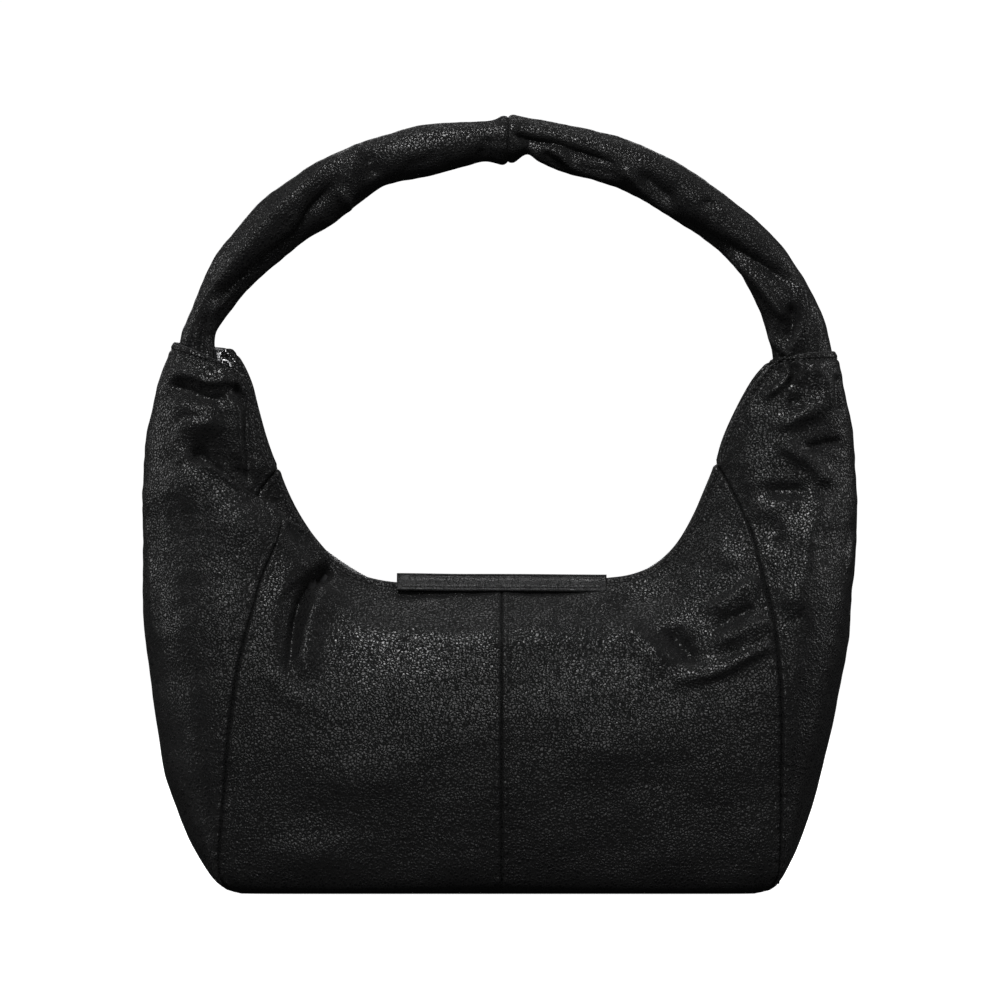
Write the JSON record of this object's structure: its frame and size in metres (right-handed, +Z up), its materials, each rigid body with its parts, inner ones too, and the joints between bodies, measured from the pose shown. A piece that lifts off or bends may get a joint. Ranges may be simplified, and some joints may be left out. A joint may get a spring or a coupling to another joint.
{
  "type": "hobo bag",
  "caption": "Soft leather hobo bag with a curved zipped mouth between raised shoulders, a flat base and a single padded carrying handle.",
  "frame": {"origin": "middle of the base's underside", "axes": "+X towards the wearer's-view right shoulder of the bag seen from the front, -Y the front face with the strip, +Z up"},
  "size_m": [0.4212, 0.139, 0.4575],
  "materials": {
    "black_leather": "soft pebbled full-grain, low satin sheen",
    "leather_edge": "turned and pressed leather edge, satin",
    "lining_cloth": "plain woven lining",
    "grey_board": "pressed fibre board",
    "zip_tape": "woven zip tape",
    "nickel": "polished nickel plate",
    "handle_core": "felted padding rope"
  },
  "bodies": {
    "bag": {"front_panel_left": "black_leather", "front_panel_right": "black_leather", "back_panel_left": "black_leather", "back_panel_right": "black_leather", "side_panel_left": "black_leather", "side_panel_right": "black_leather", "base_panel": "black_leather", "mouth_facing_front": "black_leather", "mouth_facing_back": "black_leather", "front_strip": "black_leather", "collar_left": "leather_edge", "collar_right": "leather_edge", "handle_anchor_left": "leather_edge", "handle_anchor_right": "leather_edge", "lining_front": "lining_cloth", "lining_back": "lining_cloth", "slip_pocket": "lining_cloth", "base_board": "grey_board", "zip_tape_front": "zip_tape", "zip_tape_back": "zip_tape", "zip_teeth_front": "nickel", "zip_teeth_back": "nickel", "zip_stop_left": "nickel", "zip_stop_right": "nickel"},
    "handle": {"handle_cover_left": "black_leather", "handle_cover_right": "black_leather", "handle_core": "handle_core"},
    "zip_slider": {"zip_slider": "nickel"},
    "zip_pull": {"zip_pull": "nickel"}
  },
  "joints": [
    {"name": "handle_swing", "type": "hinge", "parent": "bag", "child": "handle", "pos_m": [0, 0, 0.3305], "axis": [1, 0, 0], "range_deg": [-90, 90]},
    {"name": "zip_run", "type": "hinge", "parent": "bag", "child": "zip_slider", "pos_m": [0, 0, 0.331], "axis": [0, -1, 0], "range_deg": [0, 155]},
    {"name": "pull_swing", "type": "hinge", "parent": "zip_slider", "child": "zip_pull", "pos_m": [-0.16191, 0, 0.30825], "axis": [0, -1, 0], "range_deg": [0, 112]}
  ]
}
